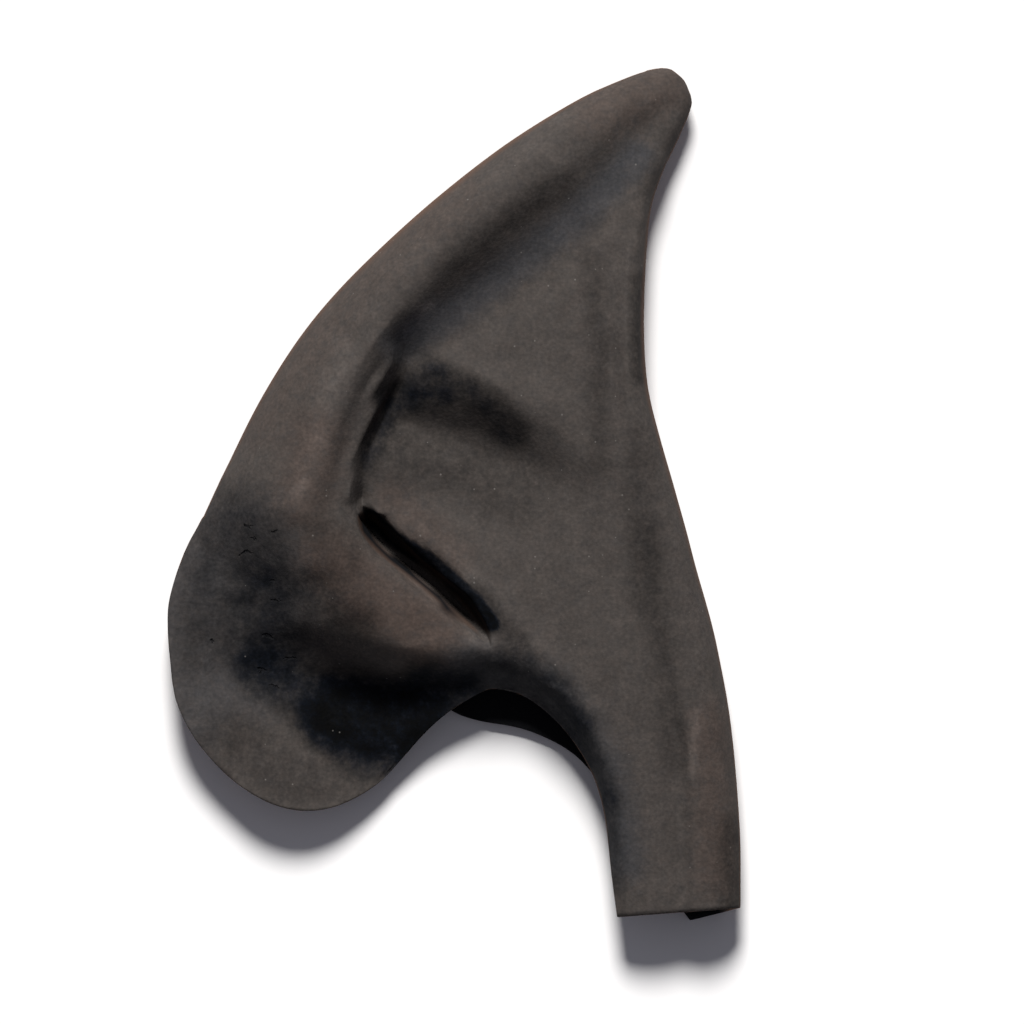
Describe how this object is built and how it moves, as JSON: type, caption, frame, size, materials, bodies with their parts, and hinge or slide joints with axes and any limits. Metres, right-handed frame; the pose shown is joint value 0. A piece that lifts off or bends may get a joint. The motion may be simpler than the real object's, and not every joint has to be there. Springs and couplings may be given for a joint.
{
  "type": "elf ear tip",
  "caption": "Hollow latex ear tip with a long pointed top, a sculpted front, a flat back, a thin dished flange and a narrow channel below, worn over the wearer's own ear.",
  "frame": {"origin": "under the middle of the bounding box, on the flat back that the piece lies on", "axes": "+Z out of the sculpted front, +Y from the end of the channel towards the pointed tip, +X from the flange towards the channel"},
  "size_m": [0.064, 0.095, 0.0128],
  "materials": {
    "latex": "matte, dusty dark brown-grey latex"
  },
  "bodies": {
    "root": {"ear_tip_shell": "latex"}
  },
  "joints": []
}
